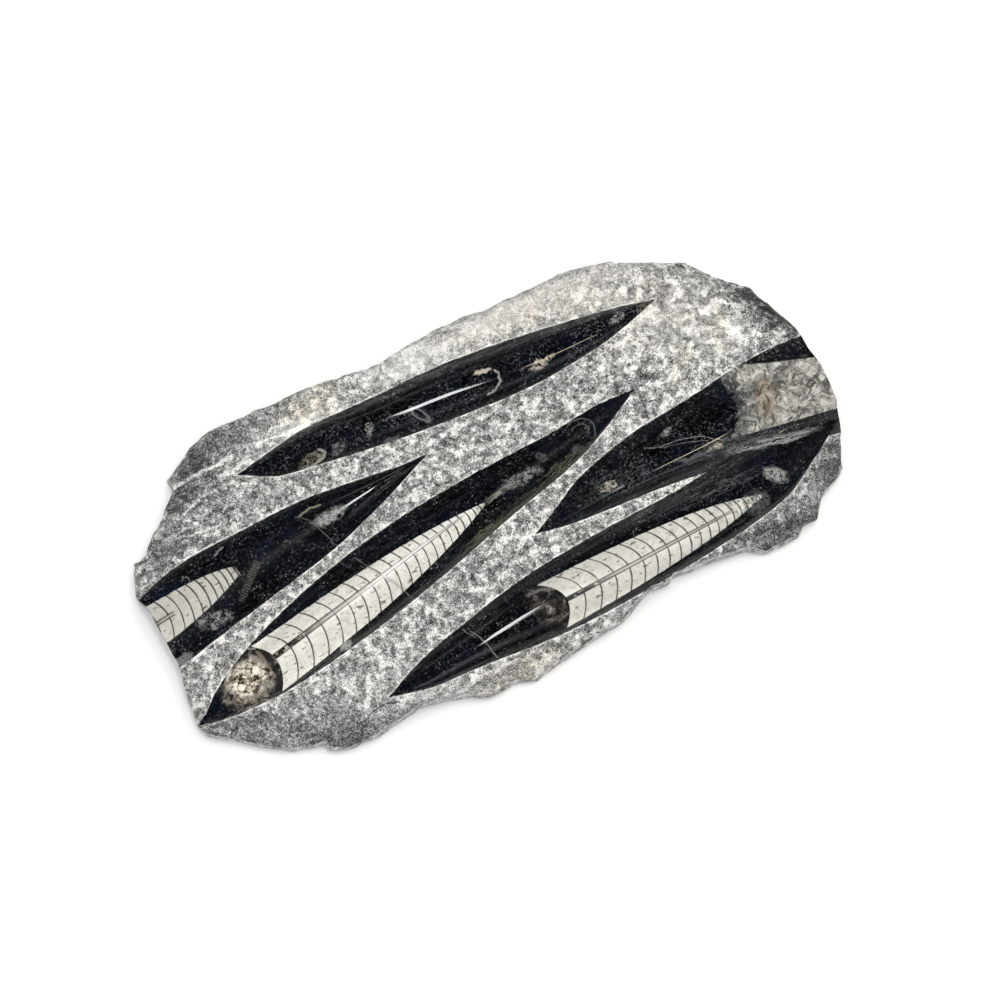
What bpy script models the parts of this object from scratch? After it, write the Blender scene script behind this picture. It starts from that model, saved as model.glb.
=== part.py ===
"""Orthoceras plate: one slab of black limestone with five polished fossil ridges.

The slab lies on its flat sawn base, z = 0, with its length along X.  Its upper
face is pecked ground.  Five leaf-shaped reliefs are cut and polished into it.
Each has a rounded crest along the middle, a hollow cove down both sides, and a
crisp rim where the cove meets the pecked ground.  Two of them run together at
the right, and two are cut off by the broken edge of the slab.

The upper face is one sheet, laid out in plan and lifted to its height.  The
broken edge is drawn down from its border, ring by ring, to the base.

All lengths below are in millimetres.  MM turns them into metres.
"""

import math
from collections import namedtuple

import bmesh
import bpy
from mathutils import Vector, noise
from mathutils.geometry import delaunay_2d_cdt

MM = 0.001

# The ground.
GROUND = 25.0            # height of the pecked ground above the base
GROUND_CELL = 7.5        # spacing of the points that carry the uneven ground
LONG_WAVE = (38.0, 1.5)  # long waves of the ground: their size and height
PECKING = (10.0, 0.9)    # short lumps left by the chisel: their size and height
RIM_MARGIN = 3.0         # ground left clear of its own points beside a rim

# The broken edge.
EDGE_STEP = 8.5          # longest straight run along the edge
CHIP = (12.0, 2.2)       # flakes on the edge: their size and depth
CHIP_STRETCH = 1.6       # how much shorter the flakes are up the edge
TOP_INSET = 1.2          # how far the upper rim lies inside the widest line
# Heights down the edge, and how far each lies inside the widest line.
EDGE_RINGS = ((18.0, 0.2), (12.0, 0.0), (5.0, 0.0), (0.0, 1.3))
RING_DROP = 0.75         # a ring keeps under this fraction of the rim above it

# Plan of the slab at its widest line, counter-clockwise from the left.
OUTLINE = (
    (-199, 36), (-195, 23), (-193, -10), (-197, -31), (-198, -44), (-195, -51),
    (-159, -78), (-140, -83), (-139, -87), (-128, -91), (-112, -92), (-85, -88),
    (-71, -90), (-47, -99), (-29, -99), (-20, -102), (-7, -99), (37, -94),
    (58, -85), (69, -86), (72, -84), (116, -88), (125, -94), (146, -94),
    (151, -90), (160, -90), (167, -80), (181, -74), (186, -70), (198, -36),
    (199, -15), (197, 12), (190, 37), (188, 47), (175, 58), (161, 76),
    (104, 98), (92, 100), (47, 99), (37, 101), (12, 101), (-22, 95),
    (-62, 101), (-129, 103), (-157, 88), (-156, 82), (-165, 73), (-184, 56),
    (-193, 54),
)

# Old fracture faces that slope from the ground down to the edge: a point on the
# edge, the heading of the rise in degrees, the height there and the run.
Fracture = namedtuple("Fracture", "x y heading height run")
FRACTURES = (
    Fracture(-150, -82, 62, 12, 22),
    Fracture(-197, -40, 22, 16, 16),
    Fracture(178, -76, 122, 12, 17),
    Fracture(120, -93, 92, 14, 10),
    Fracture(183, 46, 222, 13, 14),
    Fracture(-160, 82, -42, 16, 18),
    Fracture(-20, -101, 82, 17, 7),
    Fracture(60, 99, -92, 19, 6),
)

# The reliefs.  Widths and crest offsets are given at these fractions of the
# length from tail to head, square to the line between them.  The crest is highest
# at the summit, also a fraction of the length, and falls to both tips.
STATIONS = (0.0, 0.08, 0.17, 0.33, 0.5, 0.67, 0.83, 0.92, 1.0)
Relief = namedtuple("Relief", "tail head left crest right height summit merge_left merge_right")
NEVER = 2.0              # a merge fraction that the relief never reaches
RELIEFS = {
    "upper_ridge": Relief(
        (-120, 71), (134, 60),
        (0, 5, 9.5, 11, 13, 11, 7, 4, 0),
        (0, -2.5, -1.5, -3.5, -4.5, -7, -6, -3.5, 0),
        (0, -9.5, -12.5, -16.5, -18.5, -18.5, -13, -7, 0),
        4.5, 0.49, NEVER, NEVER),
    "left_ridge": Relief(
        (-237, -1), (-19, 36),
        (0, 17, 25, 28.5, 24.5, 19, 9.5, 3.5, 0),
        (0, 2, 5, 5.5, 4.5, 3, 1, 0, 0),
        (0, -16, -19, -17.5, -16, -14, -8.5, -4, 0),
        4.8, 0.82, NEVER, NEVER),
    "middle_ridge": Relief(
        (-197, -46), (100, 19),
        (0, 11, 18.5, 24, 23.5, 17.5, 9, 6, 0),
        (0, 1.5, 3.5, 4, 3.5, 2, 0, -1, 0),
        (0, -9, -15, -18, -17.5, -14.5, -12.5, -7, 0),
        5.2, 0.42, NEVER, NEVER),
    "right_ridge": Relief(
        (13, -31), (238, -11),
        (0, 7, 15, 21, 22, 23.5, 20, 12, 0),
        (0, -2, -2, -4, -6, -5, -8, -6, 0),
        (0, -5, -8.5, -14, -22, -31, -40, -30, 0),
        5.4, 0.38, NEVER, 0.38),
    "lower_ridge": Relief(
        (-98, -77), (194, -46),
        (0, 7.5, 12, 17, 16.5, 13.5, 14, 9, 0),
        (0, -2, -2, -2, -8, -13, -13, -9, 0),
        (0, -8, -12, -20.5, -24.5, -25.5, -22, -11.5, 0),
        5.0, 0.26, 0.70, NEVER),
}
COVE_DEPTH = 2.1         # how far a cove dips under the ground
COVE_AT = 0.74           # where its lowest line lies, from crest to rim
CREST_DROP = 1.25        # how fast a crest falls away; 1 would be a plain parabola
MERGE_RUN = 0.07         # fraction over which a rim dies out where ridges meet
ALONG = 26               # facets along a relief
ACROSS = 12              # facets across it
SNAP = 0.02              # plan distance under which two points are one
INSIDE_LINES = 1         # triangulation that keeps what the border line encloses


def smooth_step(value):
    value = min(max(value, 0.0), 1.0)
    return value * value * (3.0 - 2.0 * value)


def at_station(values, fraction):
    """Read station values at any fraction, on a smooth curve through them."""
    last = len(STATIONS) - 1
    left = max(i for i in range(last) if STATIONS[i] <= fraction)
    right = left + 1

    def slope(i):
        before = max(i - 1, 0)
        after = min(i + 1, last)
        return (values[after] - values[before]) / (STATIONS[after] - STATIONS[before])

    span = STATIONS[right] - STATIONS[left]
    u = (fraction - STATIONS[left]) / span
    rise = values[right] - values[left]
    start = slope(left) * span
    end = slope(right) * span
    bend = (3.0 * rise - 2.0 * start - end) * u ** 2 + (start + end - 2.0 * rise) * u ** 3
    return values[left] + start * u + bend


def relief_frame(relief):
    """Tail, the way to the head, and the unit vector to the left of it."""
    tail = Vector(relief.tail)
    way = Vector(relief.head) - tail
    return tail, way, Vector((-way.y, way.x)).normalized()


def relief_point(relief, fraction, side):
    """Plan point: side runs from -1 at the right rim, over the crest, to 1."""
    tail, way, left = relief_frame(relief)
    crest = at_station(relief.crest, fraction)
    rim = at_station(relief.left if side > 0 else relief.right, fraction)
    return tail + way * fraction + left * (crest + (rim - crest) * abs(side))


def relief_place(relief, point):
    """Fraction and side of a plan point, the reverse of relief_point."""
    tail, way, left = relief_frame(relief)
    fraction = (point - tail).dot(way) / way.length_squared
    if not 0.0 < fraction < 1.0:
        return fraction, NEVER
    offset = (point - tail).dot(left)
    crest = at_station(relief.crest, fraction)
    rim = at_station(relief.left if offset > crest else relief.right, fraction)
    return fraction, (offset - crest) / max(abs(rim - crest), SNAP)


def relief_height(relief, fraction, side, level):
    """Height of the polished surface: a rounded ridge between two coves."""
    climb = min(fraction / relief.summit, (1.0 - fraction) / (1.0 - relief.summit))
    swell = 1.0 - (1.0 - climb) ** 2
    depth = COVE_DEPTH * swell
    run = min(abs(side) / COVE_AT, 1.0)
    sweep = 2.0 * CREST_DROP / (CREST_DROP - 1.0)
    bell = 1.0 - CREST_DROP * run ** 2 + (CREST_DROP - 1.0) * run ** sweep
    wall = max(0.0, (abs(side) - COVE_AT) / (1.0 - COVE_AT)) ** 2
    merge = relief.merge_left if side > 0 else relief.merge_right
    wall *= 1.0 - smooth_step((fraction - merge) / MERGE_RUN)
    floor = GROUND - depth
    return floor + (relief.height * swell + depth) * bell + (level - floor) * wall


def ground_level(point):
    """Height of the ground without its lumps: flat, with sloping fracture faces."""
    level = GROUND
    for fracture in FRACTURES:
        heading = math.radians(fracture.heading)
        inward = (point.x - fracture.x) * math.cos(heading)
        inward += (point.y - fracture.y) * math.sin(heading)
        slope = (GROUND - fracture.height) / fracture.run
        level = min(level, fracture.height + inward * slope)
    return level


def surface_height(point):
    """Height of the upper face over a plan point."""
    level = ground_level(point)
    polished = []
    for relief in RELIEFS.values():
        fraction, side = relief_place(relief, point)
        if abs(side) < 1.0 + SNAP:
            polished.append(relief_height(relief, fraction, side, level))
    if polished:
        return max(polished)
    for size, lift in (LONG_WAVE, PECKING):
        level += lift * noise.noise(point.to_3d() / size)
    return level


def edge_points():
    """Upper rim of the broken edge, flaked, with no run over EDGE_STEP."""
    points = []
    for i, corner in enumerate(OUTLINE):
        start = Vector(corner)
        end = Vector(OUTLINE[(i + 1) % len(OUTLINE)])
        count = max(1, math.ceil((end - start).length / EDGE_STEP))
        points += [start.lerp(end, k / count) for k in range(count)]
    inward = ring_normals(points)
    return [point + normal * (TOP_INSET + flake(point, GROUND))
            for point, normal in zip(points, inward)]


def ring_normals(points):
    """Unit vectors that point inward from a counter-clockwise ring."""
    count = len(points)
    runs = [points[(i + 1) % count] - points[i - 1] for i in range(count)]
    return [Vector((-run.y, run.x)).normalized() for run in runs]


def flake(point, height):
    """Depth to which a flake has sprung off the broken edge."""
    place = Vector((point.x, point.y, height * CHIP_STRETCH))
    return CHIP[1] * max(0.0, noise.noise(place / CHIP[0]))


def is_inside(point, ring):
    """Whether a plan point lies inside a closed ring of plan points."""
    inside = False
    for start, end in zip(ring, ring[1:] + ring[:1]):
        if (start.y > point.y) != (end.y > point.y):
            reach = (point.y - start.y) / (end.y - start.y)
            if point.x < start.x + (end.x - start.x) * reach:
                inside = not inside
    return inside


def is_polished(point, reliefs, margin=0.0):
    """Whether a plan point lies in one of the reliefs, or near it."""
    for relief in reliefs:
        fraction, side = relief_place(relief, point)
        if side == NEVER:
            continue
        rim = at_station(relief.left if side > 0 else relief.right, fraction)
        crest = at_station(relief.crest, fraction)
        if (abs(side) - 1.0) * abs(rim - crest) < margin:
            return True
    return False


def add_relief_lines(relief, others, ring, points, lines):
    """Lay lines along a relief, from tip to tip: its rims, coves, flanks and crest."""
    for j in range(ACROSS + 1):
        side = -1.0 + 2.0 * j / ACROSS
        row = [relief_point(relief, i / ALONG, side) for i in range(ALONG + 1)]
        kept = [is_inside(point, ring) and not is_polished(point, others) for point in row]
        for i in range(ALONG):
            if kept[i] or kept[i + 1]:
                lines.append((len(points), len(points) + 1))
                points += [row[i], row[i + 1]]


def add_ground_points(ring, points):
    """Scatter points in staggered rows over the ground between the reliefs."""
    reliefs = list(RELIEFS.values())
    border = list(ring)
    reach_x = max(point.x for point in ring)
    reach_y = max(point.y for point in ring)
    for row in range(-round(reach_y / GROUND_CELL), round(reach_y / GROUND_CELL) + 1):
        for column in range(-round(reach_x / GROUND_CELL), round(reach_x / GROUND_CELL) + 1):
            stagger = 0.5 * (row % 2)
            point = Vector(((column + stagger) * GROUND_CELL, row * GROUND_CELL))
            if not is_inside(point, ring) or is_polished(point, reliefs, RIM_MARGIN):
                continue
            if min((point - mark).length for mark in border) > RIM_MARGIN:
                points.append(point)


def make_upper_face(bm):
    """Sheet of triangles over the whole plan, lifted to its height."""
    ring = edge_points()
    points = list(ring)
    lines = [(i, (i + 1) % len(ring)) for i in range(len(ring))]
    others = []
    for relief in RELIEFS.values():
        add_relief_lines(relief, others, ring, points, lines)
        others.append(relief)
    add_ground_points(ring, points)
    plan, _, triangles, _, _, _ = delaunay_2d_cdt(points, lines, [], INSIDE_LINES, SNAP)
    verts = [bm.verts.new((point.x, point.y, surface_height(point))) for point in plan]
    for triangle in triangles:
        bm.faces.new([verts[i] for i in triangle])
    loose = [vert for vert in bm.verts if not vert.link_faces]
    bmesh.ops.delete(bm, geom=loose, context="VERTS")


def border_loop(bm):
    """Verts round the border of a sheet, counter-clockwise."""
    after = {}
    for edge in bm.edges:
        if edge.is_boundary:
            loop = edge.link_loops[0]
            after[loop.vert] = loop.link_loop_next.vert
    first = next(iter(after))
    ring = [first]
    while after[ring[-1]] is not first:
        ring.append(after[ring[-1]])
    return ring


def draw_down_edge(bm):
    """Broken edge, ring by ring from the upper face to the base, and the base."""
    above = border_loop(bm)
    rim = [vert.co.copy() for vert in above]
    inward = ring_normals([place.to_2d() for place in rim])
    for height, inset in EDGE_RINGS:
        below = []
        for vert, place, normal in zip(above, rim, inward):
            depth = inset - TOP_INSET + flake(place, height)
            flat = place.to_2d() + normal * depth
            drop = min(height, vert.co.z * RING_DROP)
            below.append(bm.verts.new((flat.x, flat.y, drop)))
        for i in range(len(above)):
            bm.faces.new((below[i - 1], below[i], above[i], above[i - 1]))
        above = below
    bm.faces.new(list(reversed(above)))


def limestone():
    """Black limestone, dull grey where the chisel has bruised it."""
    material = bpy.data.materials.new("limestone")
    material.use_nodes = True
    shader = material.node_tree.nodes["Principled BSDF"]
    shader.inputs["Base Color"].default_value = (0.16, 0.16, 0.16, 1.0)
    shader.inputs["Roughness"].default_value = 0.6
    shader.inputs["Metallic"].default_value = 0.0
    return material


def make_slab():
    bm = bmesh.new()
    make_upper_face(bm)
    draw_down_edge(bm)
    bmesh.ops.recalc_face_normals(bm, faces=bm.faces)
    bmesh.ops.triangulate(bm, faces=bm.faces)
    bmesh.ops.scale(bm, vec=(MM, MM, MM), verts=bm.verts)
    mesh = bpy.data.meshes.new("fossil_slab")
    bm.to_mesh(mesh)
    bm.free()
    mesh.materials.append(limestone())
    slab = bpy.data.objects.new("fossil_slab", mesh)
    bpy.context.scene.collection.objects.link(slab)


def main():
    for thing in list(bpy.data.objects):
        bpy.data.objects.remove(thing)
    make_slab()


main()
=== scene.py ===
"""Orthoceras plate: a slab of black limestone with five polished fossil ridges.

The whole slab is one piece of stone, so it is one mesh.  A fine grid is laid over
its plan.  The rims of the polished reliefs and the broken outline are drawn on the
grid, and each point is lifted to its height: smooth coves and crests inside the
rims, chisel marks outside.  The broken edge is drawn down from it to the sawn base.

Lengths are in millimetres.  MM turns them into metres.
"""

import math
from collections import namedtuple

import bmesh
import bpy
import numpy as np
from mathutils import Matrix, Vector, noise


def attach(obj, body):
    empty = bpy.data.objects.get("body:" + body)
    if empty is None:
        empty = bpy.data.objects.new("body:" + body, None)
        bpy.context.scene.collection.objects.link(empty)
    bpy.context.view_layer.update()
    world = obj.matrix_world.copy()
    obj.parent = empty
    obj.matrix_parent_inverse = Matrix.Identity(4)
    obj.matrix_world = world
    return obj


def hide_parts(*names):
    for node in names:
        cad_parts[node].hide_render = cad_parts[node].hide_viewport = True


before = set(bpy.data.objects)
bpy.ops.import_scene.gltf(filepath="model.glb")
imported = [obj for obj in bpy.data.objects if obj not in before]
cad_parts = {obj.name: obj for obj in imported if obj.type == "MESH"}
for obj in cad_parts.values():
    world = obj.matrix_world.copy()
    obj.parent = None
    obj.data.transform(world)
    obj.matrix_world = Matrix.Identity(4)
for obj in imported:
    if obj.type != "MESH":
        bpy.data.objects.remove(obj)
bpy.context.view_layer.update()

MM = 0.001

# ------------------------------------------------------------------ the slab

# The ground.
GROUND = 25.0            # height of the pecked ground above the base
WAVES = ((38.0, 1.5), (10.0, 0.9), (2.6, 0.45), (5.0, 0.5))    # its lumps: their size and height
RIM_MARGIN = 3.0         # ground beside a rim over which the lumps fade out
PIT_MARGIN = 1.5         # ground beside a rim over which the chisel marks fade out
ARRIS = (2.6, 2.4)       # worn upper edge of the slab: its width and depth
ARRIS_CHIPS = (7.0, 0.4, 0.9)    # chips in it: their size, the least wear and the most more

# The broken edge.
CHIP = (12.0, 2.2)       # flakes on the edge: their size and depth
CHIP_STRETCH = 1.6       # how much shorter the flakes are up the edge
TOP_INSET = 0.7          # how far the upper rim lies inside the widest line
BASE_INSET = 1.3         # how far the base lies inside the widest line
SPLINTERS = (4.6, 0.9)   # small splinters on the edge: their size and depth
CRUMBS = (2.0, 0.45)     # crumbled spots on the edge: their size and depth
WANDER = (9.0, 0.5)      # how the outline wanders off its straight runs
EDGE_RINGS = 12          # rings of points down the edge
EDGE_REACH = 4.0         # how far round a point the heading of the edge is felt
SHARP_ANGLE = 42         # degrees over which a corner of broken stone is sharp

# Plan of the slab at its widest line, counter-clockwise from the left.
OUTLINE = (
    (-199, 36), (-195, 23), (-193, -10), (-197, -31), (-198, -44), (-195, -51),
    (-159, -78), (-140, -83), (-139, -87), (-128, -91), (-112, -92), (-85, -88),
    (-71, -90), (-47, -99), (-29, -99), (-20, -102), (-7, -99), (37, -94),
    (58, -85), (69, -86), (72, -84), (116, -88), (125, -94), (146, -94),
    (151, -90), (160, -90), (167, -80), (181, -74), (186, -70), (198, -36),
    (199, -15), (197, 12), (190, 37), (188, 47), (175, 58), (161, 76),
    (104, 98), (92, 100), (47, 99), (37, 101), (12, 101), (-22, 95),
    (-62, 101), (-129, 103), (-157, 88), (-156, 82), (-165, 73), (-184, 56),
    (-193, 54),
)

# Old fracture faces that slope from the ground down to the edge: a point on the
# edge, the heading of the rise in degrees, the height there and the run.
Fracture = namedtuple("Fracture", "x y heading height run")
FRACTURES = (
    Fracture(-150, -82, 62, 12, 22),
    Fracture(-197, -40, 22, 16, 16),
    Fracture(178, -76, 122, 12, 17),
    Fracture(120, -93, 92, 14, 10),
    Fracture(183, 46, 222, 13, 14),
    Fracture(-160, 82, -42, 16, 18),
    Fracture(-20, -101, 82, 17, 7),
    Fracture(60, 99, -92, 19, 6),
)

# The reliefs.  Widths and crest offsets are given at these fractions of the
# length from tail to head, square to the line between them.  The crest is highest
# at the summit, also a fraction of the length, and falls to both tips.
STATIONS = (0.0, 0.08, 0.17, 0.33, 0.5, 0.67, 0.83, 0.92, 1.0)
Relief = namedtuple("Relief", "tail head left crest right height summit merge_left merge_right")
NEVER = 2.0              # a merge fraction that the relief never reaches
RELIEFS = {
    "upper_ridge": Relief(
        (-120, 71), (134, 60),
        (0, 5, 9.5, 11, 13, 11, 7, 4, 0),
        (0, -2.5, -1.5, -3.5, -4.5, -7, -6, -3.5, 0),
        (0, -9.5, -12.5, -16.5, -18.5, -18.5, -13, -7, 0),
        4.5, 0.49, NEVER, NEVER),
    "left_ridge": Relief(
        (-237, -1), (-19, 36),
        (0, 17, 25, 28.5, 24.5, 19, 9.5, 3.5, 0),
        (0, 2, 5, 5.5, 4.5, 3, 1, 0, 0),
        (0, -16, -19, -17.5, -16, -14, -8.5, -4, 0),
        4.8, 0.82, NEVER, NEVER),
    "middle_ridge": Relief(
        (-197, -46), (100, 19),
        (0, 11, 18.5, 24, 23.5, 17.5, 9, 6, 0),
        (0, 1.5, 3.5, 4, 3.5, 2, 0, -1, 0),
        (0, -9, -15, -18, -17.5, -14.5, -12.5, -7, 0),
        5.2, 0.42, NEVER, NEVER),
    "right_ridge": Relief(
        (13, -31), (238, -11),
        (0, 7, 15, 21, 22, 23.5, 20, 12, 0),
        (0, -2, -2, -4, -6, -5, -8, -6, 0),
        (0, -5, -8.5, -14, -22, -31, -40, -30, 0),
        5.4, 0.38, NEVER, 0.38),
    "lower_ridge": Relief(
        (-98, -77), (194, -46),
        (0, 7.5, 12, 17, 16.5, 13.5, 14, 9, 0),
        (0, -2, -2, -2, -8, -13, -13, -9, 0),
        (0, -8, -12, -20.5, -24.5, -25.5, -22, -11.5, 0),
        5.0, 0.26, 0.70, NEVER),
}
COVE_DEPTH = 2.1         # how far a cove dips under the ground
COVE_AT = 0.74           # where its lowest line lies, from crest to rim
CREST_DROP = 1.25        # how fast a crest falls away; 1 would be a plain parabola
MERGE_RUN = 0.07         # fraction over which a rim dies out where ridges meet
VALLEY = 1.2             # how far the surface is rounded where two ridges meet

# The mesh.
SHEET = (400.0, 206.0)   # size of the sheet that the slab is cut from
PLAN_BOX = np.array(((-198.9, -101.9), (198.9, 101.9)))    # what the slab keeps inside
CELL = 1.0               # spacing of the grid
TIP_REACH = 7.0          # how far round a tip the grid is made finer
TIP_CUTS = 3             # cuts across each cell there
LINE_PASSES = 3          # times that points are moved nearer to a line
GENTLEST = 0.25          # least squared slope of a depth that a point is moved by
SNAP = 0.02              # distance under which two lengths are one
FAR = 30.0               # a depth or distance that stands for well clear

# Chisel marks, struck at random all over the ground.
STRIKES = 7200
STRIKE_RADIUS = (0.7, 1.9)
STRIKE_STRETCH = (1.0, 2.2)
STRIKE_DEPTH = (0.15, 0.75)
STRIKE_BRUISE = (0.4, 1.0)
STRIKE_STEP = 0.5        # spacing of the raster the marks are laid on
STRIKE_SEED = 11

# Faces carry these finishes; the polished reliefs follow in their own order.
GROUND_FACE, BROKEN_FACE, SAWN_FACE, POLISHED_FACE = range(4)


def smooth_step(value):
    value = np.clip(value, 0.0, 1.0)
    return value * value * (3.0 - 2.0 * value)


def at_station(values, fraction):
    """Read station values at any fraction, on a smooth curve through them."""
    stations = np.array(STATIONS)
    values = np.array(values, float)
    index = np.arange(len(stations))
    before = np.maximum(index - 1, 0)
    after = np.minimum(index + 1, len(stations) - 1)
    slopes = (values[after] - values[before]) / (stations[after] - stations[before])
    left = np.clip(np.searchsorted(stations, fraction, side="right") - 1, 0, len(stations) - 2)
    right = left + 1
    span = stations[right] - stations[left]
    u = (fraction - stations[left]) / span
    rise = values[right] - values[left]
    start = slopes[left] * span
    end = slopes[right] * span
    bend = (3.0 * rise - 2.0 * start - end) * u ** 2 + (start + end - 2.0 * rise) * u ** 3
    return values[left] + start * u + bend


def relief_frame(relief):
    """Tail, unit vector along, unit vector to the left, and the length."""
    tail = np.array(relief.tail, float)
    way = np.array(relief.head, float) - tail
    length = np.linalg.norm(way)
    along = way / length
    return tail, along, np.array((-along[1], along[0])), length


def relief_place(relief, points):
    """Fraction along a relief, and the offsets from its crest and its two rims."""
    tail, along, left, length = relief_frame(relief)
    reach = (points - tail) @ along
    offset = (points - tail) @ left
    fraction = np.clip(reach / length, 0.0, 1.0)
    past = np.maximum(np.maximum(-reach, reach - length), 0.0)
    crest = at_station(relief.crest, fraction)
    upper = at_station(relief.left, fraction)
    lower = at_station(relief.right, fraction)
    inside = np.minimum(upper - offset, offset - lower) - past
    rim = np.where(offset > crest, upper, lower)
    side = (offset - crest) / np.maximum(abs(rim - crest), SNAP)
    return fraction, side, inside


def rim_depth(points):
    """How far plan points lie inside the rim of a relief, negative outside."""
    return np.max([relief_place(relief, points)[2] for relief in RELIEFS.values()], axis=0)


def relief_height(relief, fraction, side, level):
    """Height of the polished surface: a rounded ridge between two coves."""
    climb = np.minimum(fraction / relief.summit, (1.0 - fraction) / (1.0 - relief.summit))
    swell = 1.0 - (1.0 - climb) ** 2
    depth = COVE_DEPTH * swell
    run = np.minimum(abs(side) / COVE_AT, 1.0)
    sweep = 2.0 * CREST_DROP / (CREST_DROP - 1.0)
    bell = 1.0 - CREST_DROP * run ** 2 + (CREST_DROP - 1.0) * run ** sweep
    wall = np.maximum(0.0, (abs(side) - COVE_AT) / (1.0 - COVE_AT)) ** 2
    merge = np.where(side > 0, relief.merge_left, relief.merge_right)
    wall = wall * (1.0 - smooth_step((fraction - merge) / MERGE_RUN))
    floor = GROUND - depth
    return floor + (relief.height * swell + depth) * bell + (level - floor) * wall


def ground_level(points):
    """Height of the ground without its lumps: flat, with sloping fracture faces."""
    level = np.full(len(points), GROUND)
    for fracture in FRACTURES:
        heading = math.radians(fracture.heading)
        inward = (points[:, 0] - fracture.x) * math.cos(heading)
        inward += (points[:, 1] - fracture.y) * math.sin(heading)
        slope = (GROUND - fracture.height) / fracture.run
        level = np.minimum(level, fracture.height + inward * slope)
    return level


def lumps(points, size, lift, height=0.0):
    """Smooth random waves over plan points, at one height through the stone."""
    places = [Vector((x, y, height)) / size for x, y in points]
    return lift * np.array([noise.noise(place) for place in places])


def relief_surfaces(points, level):
    """For each relief: name, fraction, side and height over plan points, low outside it."""
    for name, relief in RELIEFS.items():
        fraction, side, inside = relief_place(relief, points)
        side = np.clip(side, -1.0, 1.0)
        height = relief_height(relief, fraction, side, level)
        yield name, fraction, side, np.where(inside > -SNAP, height, -FAR)


def polished_height(points, level):
    """Height of the polished reliefs, rounded off where two of them meet."""
    total = np.full(len(points), -FAR)
    for *_, height in relief_surfaces(points, level):
        gap = np.maximum(VALLEY - abs(total - height), 0.0)
        total = np.maximum(total, height) + gap ** 2 / (4.0 * VALLEY)
    return total


# Painted reflection along the coves: grey bands are put into the colour where the cove walls
# mirror the bright room low down. For the upper and the lower side of each relief, the
# share of the flank where the band begins, where it is full, and its strength.
PAINTED_SHEEN_BANDS = {
    "upper_ridge": ((0.60, 0.95, 1.0), (0.70, 1.0, 0.55)),
    "left_ridge": ((0.80, 1.0, 0.45), (0.85, 1.0, 0.2)),
    "middle_ridge": ((0.92, 1.0, 0.3), (0.76, 0.90, 0.9)),
    "right_ridge": ((0.80, 1.0, 0.15), (0.40, 0.80, 0.7)),
    "lower_ridge": ((0.65, 0.95, 0.45), (0.70, 0.88, 1.0)),
}
RELIEF_APART = 40.0      # keeps the streaks of one relief apart from the next one's


# How strongly the painted reflection band shows at a share of the flank.
def painted_sheen_band(flank, begins, full, strength):
    return strength * smooth_step((flank - begins) / (full - begins))


def flank_layers(points):
    """Where polished points lie on their relief: side, painted reflection band, and course along it."""
    highest = np.full(len(points), -FAR)
    layers = np.zeros((len(points), 5))
    surfaces = relief_surfaces(points, np.full(len(points), GROUND))
    for number, (name, fraction, side, height) in enumerate(surfaces):
        relief = RELIEFS[name]
        upper, lower = PAINTED_SHEEN_BANDS[name]
        band = np.where(side > 0, painted_sheen_band(side, *upper), painted_sheen_band(-side, *lower))
        half = np.where(side > 0, at_station(relief.left, fraction), -at_station(relief.right, fraction))
        here = np.stack((side, band, fraction * relief_frame(relief)[3], side * half,
                         np.full(len(points), RELIEF_APART * number)), axis=1)
        layers = np.where((height > highest)[:, None], here, layers)
        highest = np.maximum(highest, height)
    return layers[:, 0], layers[:, 1], layers[:, 2:]


def highest_relief(points):
    """Number of the relief that the surface follows over plan points."""
    return flank_layers(points)[2][:, 2] / RELIEF_APART


def outline_depth(points):
    """How far plan points lie inside the widest line, negative outside."""
    points = points + np.stack((lumps(points, *WANDER), lumps(points, *WANDER, 50.0)), axis=1)
    start = np.array(OUTLINE, float)
    run = np.roll(start, -1, axis=0) - start
    gap = points[:, None, :] - start
    along = np.clip((gap * run).sum(2) / (run ** 2).sum(1), 0.0, 1.0)
    distance = np.linalg.norm(gap - along[..., None] * run, axis=2).min(1)
    end_y = start[:, 1] + run[:, 1]
    straddles = (start[:, 1] > points[:, 1:]) != (end_y > points[:, 1:])
    safe_rise = np.where(run[:, 1] == 0.0, 1.0, run[:, 1])
    meets = start[:, 0] + run[:, 0] * (points[:, 1:] - start[:, 1]) / safe_rise
    inside = (straddles & (points[:, :1] < meets)).sum(1) % 2 == 1
    return np.where(inside, distance, -distance)


def flaked(points, height):
    """Depth to which flakes and splinters have sprung off the edge at one height."""
    total = np.zeros(len(points))
    for size, depth in (CHIP, SPLINTERS, CRUMBS):
        total += np.maximum(lumps(points, size, depth, height * CHIP_STRETCH), 0.0)
    return total * smooth_step(-rim_depth(points) / CHIP[0])


def top_depth(points):
    """How far plan points lie inside the upper rim of the broken edge."""
    depth = outline_depth(points) - TOP_INSET
    near = abs(depth) < 2.0 * CHIP[1] + CELL
    depth[near] -= flaked(points[near], GROUND)
    return depth


def cells_near(middle, reach, count):
    """Cells of a row of the raster that lie within reach of a place on it."""
    first = max(int((middle - reach) / STRIKE_STEP), 0)
    return slice(first, min(int((middle + reach) / STRIKE_STEP) + 2, count))


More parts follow.
